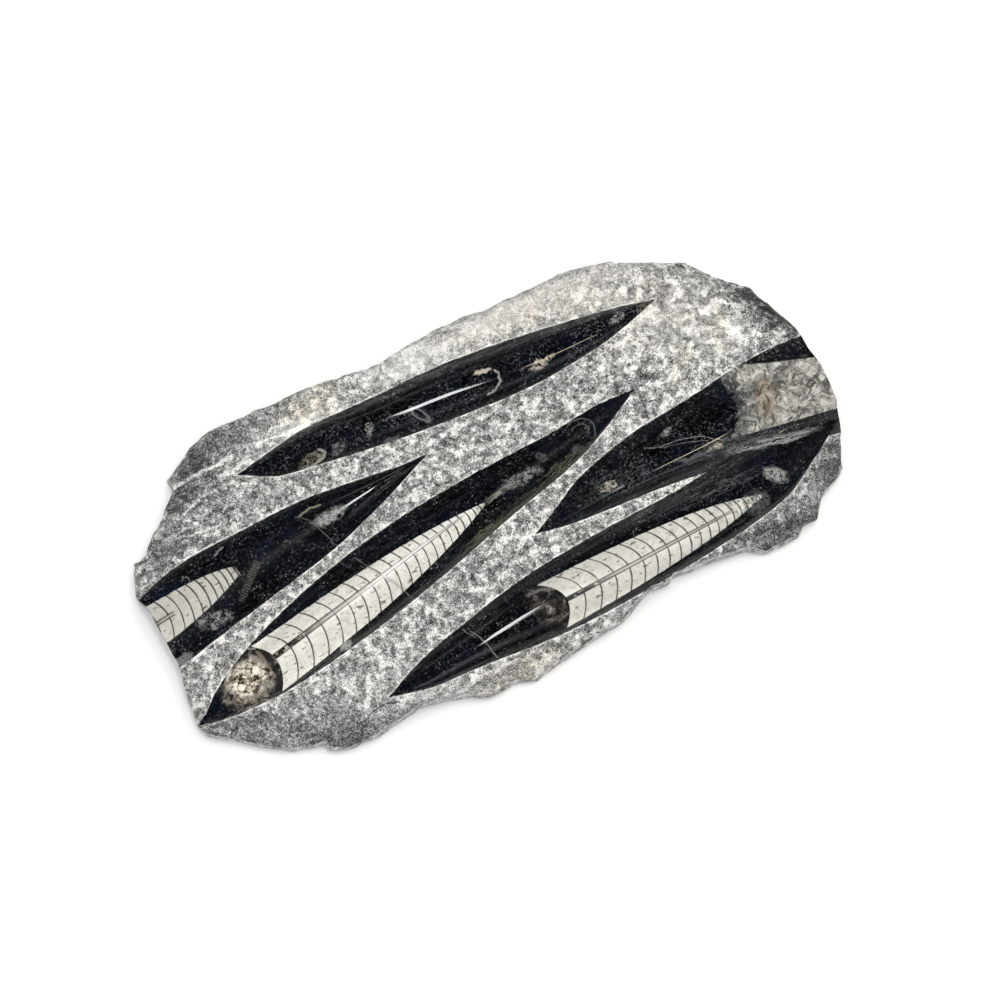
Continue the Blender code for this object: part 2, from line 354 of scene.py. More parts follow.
def strike_maps():
    """Lay the chisel marks on a raster: how deep each dug, and how it bruised."""
    random = np.random.default_rng(STRIKE_SEED)
    half_x, half_y = SHEET[0] / 2, SHEET[1] / 2
    columns = int(2 * half_x / STRIKE_STEP) + 1
    rows = int(2 * half_y / STRIKE_STEP) + 1
    depth = np.zeros((rows, columns))
    bruise = np.zeros((rows, columns))
    for _ in range(STRIKES):
        x = random.uniform(-half_x, half_x)
        y = random.uniform(-half_y, half_y)
        radius = random.uniform(*STRIKE_RADIUS)
        stretch = random.uniform(*STRIKE_STRETCH)
        heading = random.uniform(0.0, math.pi)
        dug = random.uniform(*STRIKE_DEPTH)
        white = random.uniform(*STRIKE_BRUISE)
        near = (cells_near(y + half_y, radius * stretch, rows),
                cells_near(x + half_x, radius * stretch, columns))
        dx = np.arange(columns)[near[1]] * STRIKE_STEP - half_x - x
        dy = (np.arange(rows)[near[0]] * STRIKE_STEP - half_y - y)[:, None]
        along = (dx * math.cos(heading) + dy * math.sin(heading)) / stretch
        across = dy * math.cos(heading) - dx * math.sin(heading)
        bowl = np.maximum(1.0 - (along ** 2 + across ** 2) / radius ** 2, 0.0)
        depth[near] = np.maximum(depth[near], dug * bowl)
        bruise[near] = np.maximum(bruise[near], white * np.sqrt(bowl))
    return depth, bruise


def read_raster(raster, points):
    """Read a raster at plan points, blended between its four nearest cells."""
    rows, columns = raster.shape
    x = np.clip(points[:, 0] / STRIKE_STEP + (columns - 1) / 2, 0, columns - 2)
    y = np.clip(points[:, 1] / STRIKE_STEP + (rows - 1) / 2, 0, rows - 2)
    column = x.astype(int)
    row = y.astype(int)
    u = x - column
    v = y - row
    lower = raster[row, column] * (1 - u) + raster[row, column + 1] * u
    upper = raster[row + 1, column] * (1 - u) + raster[row + 1, column + 1] * u
    return lower * (1 - v) + upper * v


# Broad patches of the ground, each with its place, half length, half width, heading and
# strength: pale or dark ones, ones with a fine grain, and warm ones.
GROUND_PATCHES = {
    "pale": (
        (104, 74, 46, 24, -20, 0.22), (140, 38, 34, 24, 30, 0.20), (172, 26, 20, 10, 30, 0.20),
        (30, 90, 44, 11, 0, 0.26), (-10, 90, 26, 9, 8, 0.30), (-79, 82, 24, 8, 8, 0.34),
        (-91, -84, 16, 4, 6, 0.22), (-71, -85, 12, 5, 0, 0.22), (-103, 92, 24, 9, 5, -0.26),
        (-133, 90, 22, 12, 25, -0.26), (-146, 80, 18, 10, 40, -0.27), (16, 95, 11, 5, 0, -0.34),
        (104, 22, 13, 8, 20, -0.22), (188, 31, 11, 22, 30, -0.95), (148, -88, 28, 10, 0, -0.46),
        (121, -90, 22, 8, 0, -0.40), (180, -66, 13, 22, -30, -0.48), (-148, -73, 34, 14, -25, -0.34),
        (-184, -58, 14, 10, -30, -0.27), (-110, -88, 42, 7, 0, -0.30), (-154, 59, 38, 24, 20, -0.26),
        (-170, 30, 24, 20, 20, -0.05),),
    "fine": (
        (-140, -76, 52, 15, -20, 0.9), (-70, -92, 60, 8, -3, 0.7), (150, -88, 46, 12, 5, 0.7),
        (180, -64, 16, 28, -30, 0.6), (-120, 91, 42, 12, 8, 0.8), (-150, 58, 44, 26, 20, 0.35),
        (60, 88, 90, 14, 0, 1.0), (-88, -68, 34, 14, -8, 0.45),),
    "warm": (
        (-66, 90, 15, 8, 0, 1.0), (-22, -95, 30, 6, 2, 0.9), (129, 21, 9, 5, 40, 0.9),
        (157, 30, 9, 6, 60, 0.7), (60, 84, 40, 10, -5, 0.45), (120, 60, 40, 24, -20, 0.3),),
}


def patchwork(patches, points):
    """Sum of soft-edged patches at plan points."""
    total = np.zeros(len(points))
    for x, y, length, width, heading, strength in patches:
        cosine, sine = math.cos(math.radians(heading)), math.sin(math.radians(heading))
        dx = points[:, 0] - x
        dy = points[:, 1] - y
        along = (dx * cosine + dy * sine) / length
        across = (dy * cosine - dx * sine) / width
        total += strength * np.exp(-(along ** 2 + across ** 2))
    return total


def plan_points(verts):
    return np.array([vert.co.xy for vert in verts], float).reshape(-1, 2)


def refine_tips(bm):
    """Cut the grid finer round the tips, where two rims run together."""
    tips = [tip for relief in RELIEFS.values() for tip in (relief.tail, relief.head)]
    near = []
    for edge in bm.edges:
        middle = (edge.verts[0].co.xy + edge.verts[1].co.xy) / 2
        if min((middle - Vector(tip)).length for tip in tips) < TIP_REACH:
            near.append(edge)
    bmesh.ops.subdivide_edges(bm, edges=near, cuts=TIP_CUTS, use_grid_fill=True)


def draw_line(bm, depth_at):
    """Pull grid points onto the line where a depth is zero, and cut the cells it crosses."""
    bm.verts.ensure_lookup_table()
    bm.verts.index_update()
    points = plan_points(bm.verts)
    depth = depth_at(points)
    ends = np.array([[vert.index for vert in edge.verts] for edge in bm.edges])
    ends = ends[depth[ends[:, 0]] * depth[ends[:, 1]] < 0.0]
    nearer = abs(depth[ends[:, 0]]) < abs(depth[ends[:, 1]])
    chosen = np.unique(np.where(nearer, ends[:, 0], ends[:, 1]))
    spots = points[chosen]
    for _ in range(LINE_PASSES):
        here = depth_at(spots)
        slope_x = (depth_at(spots + (SNAP, 0.0)) - here) / SNAP
        slope_y = (depth_at(spots + (0.0, SNAP)) - here) / SNAP
        steep = np.maximum(slope_x ** 2 + slope_y ** 2, GENTLEST)
        step = np.stack((slope_x, slope_y), axis=1) * (here / steep)[:, None]
        spots = spots - np.clip(step, -CELL / 2, CELL / 2)
    verts = [bm.verts[i] for i in chosen]
    for vert, spot in zip(verts, spots):
        vert.co.xy = spot
    bmesh.ops.connect_verts(bm, verts=verts)


def face_values(bm, value_at):
    """Something known over the plan, read at the middle of each face."""
    middles = np.array([face.calc_center_median().xy for face in bm.faces])
    return value_at(middles)


def trim_outside(bm):
    """Delete what lies outside the broken outline, down to a clean border."""
    depths = face_values(bm, top_depth)
    outside = [face for face, depth in zip(bm.faces, depths) if depth < 0.0]
    bmesh.ops.delete(bm, geom=outside, context="FACES")
    while True:
        pinched = [vert for vert in bm.verts
                   if sum(edge.is_boundary for edge in vert.link_edges) > 2]
        faces = list({face for vert in pinched for face in vert.link_faces})
        if not faces:
            break
        bmesh.ops.delete(bm, geom=faces, context="FACES")
    loose = [vert for vert in bm.verts if not vert.link_faces]
    bmesh.ops.delete(bm, geom=loose, context="VERTS")


def lift_surface(bm, digs):
    """Give every point of the sheet its height."""
    for vert in bm.verts:
        vert.co.xy = np.clip(vert.co.xy, *PLAN_BOX)
    points = plan_points(bm.verts)
    level = ground_level(points)
    rim = rim_depth(points)
    polished = polished_height(points, level)
    waves = sum(lumps(points, *wave) for wave in WAVES)
    pits = smooth_step(-rim / PIT_MARGIN) * read_raster(digs, points)
    ground = level + smooth_step(-rim / RIM_MARGIN) * waves - pits
    width, depth = ARRIS
    size, least, more = ARRIS_CHIPS
    worn = np.clip(1.0 - top_depth(points) / width, 0.0, 1.0) ** 2
    ground -= depth * worn * (least + more * np.clip(lumps(points, size, 1.0), 0.0, 1.0))
    height = np.where(rim > -SNAP, polished, ground)
    for vert, z in zip(bm.verts, height):
        vert.co.z = z


def draw_down_edge(bm):
    """Broken edge, extruded ring by ring from the upper face down to the base."""
    edges = [edge for edge in bm.edges if edge.is_boundary]
    rings = []
    for _ in range(EDGE_RINGS):
        grown = bmesh.ops.extrude_edge_only(bm, edges=edges)["geom"]
        edges = [item for item in grown if isinstance(item, bmesh.types.BMEdge) and item.is_boundary]
        rings.append([item for item in grown if isinstance(item, bmesh.types.BMVert)])
        paint_faces(grown, BROKEN_FACE)
    for number, verts in enumerate(rings, 1):
        place_ring(verts, number / EDGE_RINGS)
    base = bmesh.ops.triangle_fill(bm, edges=edges, use_beauty=True)["geom"]
    paint_faces(base, SAWN_FACE)


def paint_faces(geometry, finish):
    for item in geometry:
        if isinstance(item, bmesh.types.BMFace):
            item.material_index = finish


def place_ring(verts, fall):
    """Set one ring of the edge: fall runs from 0 at the upper rim to 1 at the base."""
    points = plan_points(verts)
    tops = np.array([vert.co.z for vert in verts])
    inward = np.stack([outline_depth(points + way) - outline_depth(points - way)
                       for way in ((EDGE_REACH, 0.0), (0.0, EDGE_REACH))], axis=1)
    inward /= np.maximum(np.linalg.norm(inward, axis=1), SNAP)[:, None]
    depth = outline_depth(points)
    heights = tops * (1.0 - fall)
    wanted = np.empty(len(verts))
    for i, (point, height) in enumerate(zip(points, heights)):
        wanted[i] = flaked(point[None], height)[0]
    belly = math.sin(math.pi * fall)
    wanted += TOP_INSET * (1.0 - belly) * (1.0 - fall) + BASE_INSET * fall ** 4
    blend = min(1.0, 3.0 * fall)
    shift = (wanted - depth) * blend
    places = np.clip(points + inward * shift[:, None], *PLAN_BOX)
    for vert, place, height in zip(verts, places, heights):
        vert.co = (place[0], place[1], height)


def mark_sharp(bm):
    """Sharp edges: where two finishes meet, and where broken stone turns a corner."""
    for edge in bm.edges:
        finishes = {min(face.material_index, POLISHED_FACE) for face in edge.link_faces}
        rough = POLISHED_FACE not in finishes
        if len(finishes) > 1:
            edge.smooth = False
        elif rough and edge.is_manifold and edge.calc_face_angle() > math.radians(SHARP_ANGLE):
            edge.smooth = False


def make_slab():
    digs, bruises = strike_maps()
    width, depth = SHEET
    bm = bmesh.new()
    bmesh.ops.create_grid(bm, x_segments=round(width / CELL), y_segments=round(depth / CELL), size=0.5)
    bmesh.ops.scale(bm, vec=(width, depth, 1.0), verts=bm.verts)
    refine_tips(bm)
    draw_line(bm, rim_depth)
    draw_line(bm, top_depth)
    trim_outside(bm)
    numbers = face_values(bm, highest_relief)
    for face, inside, number in zip(bm.faces, face_values(bm, rim_depth), numbers):
        face.material_index = POLISHED_FACE + int(number) if inside > 0.0 else GROUND_FACE
    lift_surface(bm, digs)
    draw_down_edge(bm)
    bmesh.ops.triangulate(bm, faces=bm.faces)
    bmesh.ops.recalc_face_normals(bm, faces=bm.faces)
    mark_sharp(bm)
    for face in bm.faces:
        face.smooth = True
    mesh = bpy.data.meshes.new("polished_fossil_slab")
    points = plan_points(bm.verts)
    bmesh.ops.scale(bm, vec=(MM, MM, MM), verts=bm.verts)
    bm.to_mesh(mesh)
    bm.free()
    # One layer marks the cove walls where a grey reflection is painted into the polished colour.
    side, painted_sheen, course = flank_layers(points)
    mesh.attributes.new("course", "FLOAT_VECTOR", "POINT").data.foreach_set("vector", course.ravel())
    layers = {"side": side, "painted_sheen": painted_sheen, "bruise": read_raster(bruises, points),
              "rim": np.clip(rim_depth(points), -10.0, 10.0)}
    for name, patches in GROUND_PATCHES.items():
        layers[name] = np.clip(patchwork(patches, points), -1.0, 1.0)
    for name, values in layers.items():
        layer = mesh.attributes.new(name, "FLOAT", "POINT")
        layer.data.foreach_set("value", np.asarray(values, np.float32))
    slab = bpy.data.objects.new("polished_fossil_slab", mesh)
    bpy.context.scene.collection.objects.link(slab)
    return slab


# ------------------------------------------------------------------ the finishes

class Value:
    """A number that varies over the stone.  Sums of values are worked out by nodes."""

    def __init__(self, stone, socket):
        self.stone = stone
        self.socket = socket

    def __add__(self, other):
        return self.stone.math("ADD", self, other)

    def __sub__(self, other):
        return self.stone.math("SUBTRACT", self, other)

    def __rsub__(self, other):
        return self.stone.math("SUBTRACT", other, self)

    def __mul__(self, other):
        return self.stone.math("MULTIPLY", self, other)

    def __truediv__(self, other):
        return self.stone.math("DIVIDE", self, other)

    def __abs__(self):
        return self.stone.math("ABSOLUTE", self)

    def least(self, other):
        return self.stone.math("MINIMUM", self, other)

    def most(self, other):
        return self.stone.math("MAXIMUM", self, other)

    def swing(self, gain):
        """Turn a pattern that lies about one half into one about zero."""
        return self.stone.math("MULTIPLY_ADD", self, gain, -0.5 * gain)

    def step(self, low, high, out_low=0.0, out_high=1.0, curve="SMOOTHSTEP"):
        """Smooth step from out_low to out_high as the value goes from low to high."""
        node = self.stone.add("ShaderNodeMapRange", {
            "Value": self, "From Min": low, "From Max": high, "To Min": out_low,
            "To Max": out_high}, interpolation_type=curve)
        return Value(self.stone, node.outputs["Result"])


class Recipe:
    """One material or room light, and short ways to add nodes to it."""

    def __init__(self, name, room=None):
        self.owner = room or bpy.data.materials.new(name)
        self.owner.use_nodes = True
        self.tree = self.owner.node_tree
        self.shader = self.tree.nodes["Background" if room else "Principled BSDF"]
        self.place = self.add("ShaderNodeTexCoord").outputs["Generated" if room else "Object"]
        self.loose = self.place

    def feed(self, socket, value):
        if isinstance(value, Value):
            value = value.socket
        if isinstance(value, bpy.types.NodeSocket):
            self.tree.links.new(value, socket)
        elif value is not None:
            socket.default_value = value

    def add(self, kind, inputs=None, **settings):
        """A node with its settings, and with what is fed to its inputs."""
        node = self.tree.nodes.new(kind)
        for name, value in settings.items():
            setattr(node, name, value)
        for name, value in (inputs or {}).items():
            self.feed(node.inputs[name], value)
        return node

    def math(self, operation, *values):
        node = self.add("ShaderNodeMath", dict(enumerate(values)), operation=operation)
        return Value(self, node.outputs[0])

    def layer(self, name, output="Fac"):
        return Value(self, self.add("ShaderNodeAttribute", attribute_name=name).outputs[output])

    def split(self, vector):
        node = self.add("ShaderNodeSeparateXYZ", {0: vector})
        return [Value(self, socket) for socket in node.outputs]

    def loosen(self, size, sway):
        """Let later spots and strokes wander by a sway in millimetres."""
        ripple = self.add("ShaderNodeTexNoise", {
            "Vector": self.place, "Scale": 1.0 / (size * MM), "Detail": 4.0, "Roughness": 0.65})
        sway *= MM
        shift = self.add("ShaderNodeVectorMath", {
            0: ripple.outputs["Color"], 1: (sway, sway, 0.0), 2: (-sway / 2, -sway / 2, 0.0)},
            operation="MULTIPLY_ADD")
        total = self.add("ShaderNodeVectorMath", {0: self.place, 1: shift.outputs["Vector"]})
        self.loose = total.outputs["Vector"]

    def turned(self, x, y, heading, vector=None):
        """Coordinates in millimetres about a point, with X along a heading."""
        return self.add("ShaderNodeMapping", {
            "Location": (x * MM, y * MM, 0.0), "Rotation": (0.0, 0.0, math.radians(heading)),
            "Scale": (MM, MM, MM), "Vector": vector or self.place},
            vector_type="TEXTURE").outputs["Vector"]

    def moved(self, vector, shift, scale=(1.0, 1.0, 1.0), heading=0.0):
        """A vector shifted and scaled, to read a pattern at a different place."""
        return self.add("ShaderNodeMapping", {
            "Location": (shift, shift * 0.7, shift * 0.3), "Scale": scale, "Vector": vector,
            "Rotation": (0.0, 0.0, -math.radians(heading))}).outputs["Vector"]

    def noise(self, size, detail=3.0, roughness=0.5, twist=0.0, shift=0.0, vector=None):
        """Noise with lumps of a size in millimetres; shift gives a different one."""
        node = self.add("ShaderNodeTexNoise", {
            "Vector": vector or self.moved(self.place, shift), "Scale": 1.0 / (size * MM),
            "Detail": detail, "Roughness": roughness, "Distortion": twist})
        return Value(self, node.outputs["Fac"])

    def fibres(self, vector, stretch, detail, roughness, twist=0.0, shift=0.0):
        """Noise drawn out along X: stretch is how often it changes along and across."""
        along, across = stretch
        drawn_out = self.moved(vector, shift, (along * MM, across * MM, MM))
        return self.noise(1.0, detail, roughness, twist, vector=drawn_out)

    def grains(self, size, output="Distance", shift=0.0):
        """Crystal grains of a size in millimetres: distance to each, or its own tone."""
        found = self.add("ShaderNodeTexVoronoi", {
            "Vector": self.moved(self.loose, shift), "Scale": 1.0 / (size * MM)}).outputs[output]
        return self.split(found)[0] if output == "Color" else Value(self, found)

    def oval(self, place, length, width):
        """How far out a place lies in an oval: 0 in the middle, 1 at its rim."""
        along, across, _ = self.split(place)
        along /= length
        across /= width
        return along * along + across * across

    def ramp(self, value, stops):
        node = self.add("ShaderNodeValToRGB", {"Fac": value})
        band = node.color_ramp
        while len(band.elements) < len(stops):
            band.elements.new(1.0)
        for element, (position, color) in zip(band.elements, stops):
            element.position = position
            element.color = tuple(color) + (1.0,)
        return node.outputs["Color"]

    def mix(self, share, under, over, blend="MIX"):
        node = self.add("ShaderNodeMix", {"Factor": share}, data_type="RGBA", blend_type=blend)
        for name, color in (("A", under), ("B", over)):
            socket = next(s for s in node.inputs if s.name == name and s.type == "RGBA")
            self.feed(socket, tuple(color) + (1.0,) if isinstance(color, tuple) else color)
        return next(s for s in node.outputs if s.type == "RGBA")

    def bump(self, height, distance, strength):
        return self.add("ShaderNodeBump", {
            "Height": height, "Distance": distance * MM, "Strength": strength}).outputs["Normal"]

    def finish(self, color, roughness, normal=None, gloss=None):
        for name, value in (("Base Color", color), ("Roughness", roughness),
                            ("Specular IOR Level", gloss), ("Normal", normal)):
            self.feed(self.shader.inputs[name], value)
        return self.owner


# Tones of bruised and unbruised stone, from darkest to palest.
STONE_TONES = (
    (0.06, (0.018, 0.018, 0.017)), (0.22, (0.076, 0.076, 0.073)), (0.38, (0.187, 0.187, 0.181)),
    (0.52, (0.34, 0.34, 0.33)), (0.66, (0.56, 0.555, 0.54)), (0.90, (0.88, 0.87, 0.84)),
)


def pecked_stone():
    """Ground between the ridges: black stone, bruised white by the chisel."""
    stone = Recipe("pecked limestone")
    stone.loosen(12.0, 7.0)
    pale = stone.layer("pale")
    fine = stone.layer("fine")
    creamy = pale.step(0.05, 0.32, 0.0, 0.75)
    crushed = stone.layer("bruise") - 0.40
    blots = stone.noise(6.5, 4.0, 0.6, 0.3).step(0.50, 0.60, -0.22, 0.78)
    hollows = stone.noise(4.5, 3.0, 0.6, 0.2, 0.7).step(0.54, 0.66)
    blobs = stone.grains(5.6, shift=0.6).step(0.20, 0.46, 1.0, 0.0)
    blobs *= stone.grains(5.6, "Color", 0.6).step(0.40, 0.60)
    coarse = crushed * 0.26 + blots * 0.30 - hollows * 0.20 + blobs * 0.20
    coarseness = fine.most(creamy * 0.35) * -0.75 + 1.0
    tone = coarse * coarseness + pale * 0.58 + 0.52
    flecks = stone.noise(1.9, 4.0, 0.7, 0.0, 0.2).step(0.38, 0.62, -0.5, 0.5)
    tone += flecks * (creamy * -0.09 + 0.13)
    grit = stone.noise(0.65, 3.0, 0.85, 0.0, 0.4).swing(1.0)
    tone += grit * (creamy * -1.40 + 2.00)
    tone += stone.grains(0.8, "Color").swing(0.34) * (1.0 - creamy)
    clumps = stone.noise(15.0, 3.0, 0.65, 0.8, 0.5).swing(1.0)
    tone += clumps * (creamy * 1.35 + fine * 0.6 - creamy * fine * 1.9)
    scratches = abs(stone.noise(15.0, 3.0, 0.55, 0.9, 0.33).swing(1.0)).step(0.0, 0.016, 0.20, 0.0)
    tone += scratches * stone.noise(11.0, 2.0, 0.5, 0.0, 0.9).step(0.50, 0.60)
    tone += stone.layer("rim").step(-1.0, -0.1) * stone.noise(12.0, 2.0).step(0.38, 0.6, 0.02, 0.32)
    for points, width, strength in WHITE_VEINS:
        tone += stroke(stone, points, width) * strength
    color = stone.ramp(tone, STONE_TONES)
    warm = stone.layer("warm") * stone.noise(9.0, 3.0).step(0.35, 0.7, 0.3, 1.0)
    color = stone.mix(warm, color, (1.0, 0.90, 0.76), "MULTIPLY")
    grain = stone.grains(0.75) * 0.4 + stone.noise(0.9, 4.0, 0.7)
    return stone.finish(color, 0.85, stone.bump(grain, 0.45, 0.7))


# White veins of the ground, and dark ones below zero: a line through plan points, its
# width, and how strongly it shows.
WHITE_VEINS = (
    (((-156, 81), (-142, 81), (-117, 82)), 3.4, 0.42),
    (((-129, 74), (-116, 75)), 3.0, 0.30),
    (((-164, 54), (-153, 51), (-140, 49)), 1.3, 0.30),
    (((-162, 62), (-153, 65), (-144, 67)), 1.2, 0.30),
    (((-156, 61), (-151, 56), (-145, 49)), 1.0, 0.26),
    (((-103, 82), (-96, 83), (-87, 80)), 1.6, 0.30),
    (((-84, 80), (-73, 81)), 3.4, 0.34),
    (((-103, -63), (-108, -73), (-113, -80)), 3.4, 0.24),
    (((-120, -58), (-112, -70)), 1.6, 0.20),
    (((-108, -80), (-100, -80), (-94, -82)), 0.9, -0.6),
    (((-66, -92), (-44, -88), (-12, -90)), 2.6, 0.16),
    (((41, 99), (52, 98), (61, 97)), 0.9, -0.5),
    (((-176, -20), (-171, -13), (-168, -6)), 1.0, 0.20),
    (((-60, 44), (-34, 46), (-10, 45)), 1.8, 0.14),
    (((-30, 30), (4, 33), (44, 32)), 2.2, 0.14),
    (((150, 8), (166, 14), (182, 24)), 1.2, 0.18),
)


def stroke(stone, points, width):
    """Mask of a line through plan points, softened and broken at its edge."""
    total = None
    for start, end in zip(points, points[1:]):
        run = Vector(end) - Vector(start)
        middle = (Vector(start) + Vector(end)) / 2
        heading = math.degrees(math.atan2(run.y, run.x))
        along, across, _ = stone.split(stone.turned(middle.x, middle.y, heading, stone.loose))
        gap = abs(across) + (abs(along) - run.length / 2).most(0.0)
        total = gap if total is None else total.least(gap)
    total += stone.noise(1.6, 3.0, 0.65).swing(1.3 * width)
    return total.step(0.15 * width, 0.62 * width, 1.0, 0.0)


def draw_lines(stone, lines, color):
    """Lines through plan points, each with its width, its colour and its strength."""
    for points, width, tone, strength in lines:
        color = stone.mix(stroke(stone, points, width) * strength, color, tone)
    return color


# The chambered shells.  Distances run back from the apex along the shell.  The
# edges follow reach * (1 - exp(-distance / bend)) on either side.  The spacing is that
# of the chamber walls: at the apex, its growth, and a distance where one wall stands.
# The tube has an offset from the middle, a width, and the distance where it comes up.
# A blunt apex starts as wide as the shell would be that much further back.  The last
# numbers are how bright the calcite is and how rough its polish.
Shell = namedtuple("Shell", "apex heading mouth upper lower spacing sag tube"
                            " mottled dull blunt bright satin")
SHELLS = {
    "middle_ridge": Shell(
        (-3.5, -4.0), 191.3, 142.5, (16.5, 70.0), (17.0, 60.0),
        (3.65, 0.054, 132.5), 0.052, (1.6, 1.35, 8.0), 12.0, 0.0, 1.5, 1.17, 0.17),
    "lower_ridge": Shell(
        (135.0, -66.5), 182.5, 122.5, (16.5, 45.0), (13.8, 50.0),
        (3.6, 0.060, 112.6), 0.070, (0.2, 1.1, 14.0), 46.0, 0.06, 2.0, 1.04, 0.34),
    "left_ridge": Shell(
        (-141.1, 21.6), 187.0, 80.0, (11.5, 20.0), (16.0, 36.0),
        (3.0, 0.09, 45.2), 0.070, (-1.0, 1.3, 41.0), 6.0, 0.22, 5.0, 0.91, 0.25),
}
TUBE_AT = 15.0           # half width of a shell where its tube has the given width
SHALLOW_TUBE = 20.0      # a tube that comes up nearer the apex than this does so slowly
CALCITE_TONES = ((0.30, (0.44, 0.42, 0.365)), (0.42, (0.57, 0.56, 0.51)), (0.70, (0.66, 0.655, 0.61)))
SHELL_VEIN = (((-81, 1), (-75, -11), (-66, -25), (-60, -38)), 2.2, (0.25, 0.25, 0.25), 0.55)


def shell_marks(stone, shell):
    """Masks of one shell: its body, its septa, and the tube that runs through it."""
    behind, across, _ = stone.split(stone.turned(*shell.apex, shell.heading))
    # The heading runs back from the apex, so the shell's upper side has across < 0.
    back = behind.most(0.01)

    def edge(reach, bend):
        return stone.math("EXPONENT", (back + shell.blunt) / -bend) * -reach + reach

    upper = edge(*shell.upper)
    lower = edge(*shell.lower)
    half = (upper + lower) * 0.5
    inside = (across + upper).least(lower - across) + stone.noise(2.2, 3.0, 0.6).swing(0.9)
    side = across / half
    distance = back / (side * side * shell.sag + 1.0)
    started = shell.mouth - distance
    body = inside.step(-0.15, 0.35) * started.step(-0.2, 0.3) * behind.step(0.0, 2.0)
    first, growth, mark = shell.spacing
    spacing = distance * growth + first
    turns = stone.math("LOGARITHM", spacing / (first + growth * mark), math.e)
    gap = stone.math("PINGPONG", turns * (1.0 / growth), 0.5) * spacing
    septa = (gap + stone.noise(6.0, 2.0).swing(0.6)).step(0.26, 0.62, 1.0, 0.0)
    offset, width, shown = shell.tube
    off_tube = abs(across + offset) - half * (width / TUBE_AT)
    seen = behind.step(shown, shown + (16.0 if shown < SHALLOW_TUBE else 1.5))
    return {"body": body, "septa": septa, "back": back, "started": started,
            "core": off_tube.step(-0.15, 0.25, 1.0, 0.0) * seen,
            "rails": abs(off_tube).step(0.18, 0.60, 1.0, 0.0) * seen}


def paint_shell(stone, shell, color):
    """A chambered shell of cream calcite, and the mask of where it lies."""
    marks = shell_marks(stone, shell)
    painted = stone.ramp(stone.noise(3.2, 4.0, 0.6, 0.5), [
        (place, [shell.bright * part for part in tone]) for place, tone in CALCITE_TONES])
    grainy = stone.noise(0.9, 2.0, 0.7).step(0.35, 0.6, 0.22 + shell.dull, shell.dull)
    across_shell = stone.moved(stone.place, 0.31, (0.32, 1.0, 1.0), shell.heading + 84.0)
    flecks = stone.noise(1.7, 1.0, 0.5, vector=across_shell).step(0.65, 0.72, 0.0, 0.8)
    brown = stone.noise(5.5, 3.0, 0.6, 0.3, 0.77).step(0.62, 0.74, 0.0, 0.4)
    dull = marks["back"].step(0.0, shell.mottled, 1.0, 0.0)
    dull *= stone.noise(2.6, 4.0, 0.7, 0.4, 0.5).step(0.42, 0.60)
    beads = marks["core"] * marks["started"].step(10.0, 40.0, 1.0, 0.0)
    beads *= stone.noise(2.8, 2.0, 0.6).step(0.36, 0.48)
    for share, tone in (
            (grainy, (0.30, 0.29, 0.26)), (flecks, (0.09, 0.075, 0.06)),
            (brown, (0.22, 0.17, 0.12)), (dull * 0.8, (0.14, 0.14, 0.135)),
            (marks["septa"] * 0.9, (0.028, 0.025, 0.024)),
            (marks["core"] * 0.8, (0.36, 0.33, 0.30)),
            (marks["rails"] * 0.85, (0.045, 0.038, 0.034)), (beads, (0.014, 0.014, 0.014))):
        painted = stone.mix(share, painted, tone)
    painted = draw_lines(stone, (SHELL_VEIN,), painted)
    body = marks["body"] * dull.step(0.3, 1.0, 1.0, 0.55)
    return stone.mix(body, color, painted), body
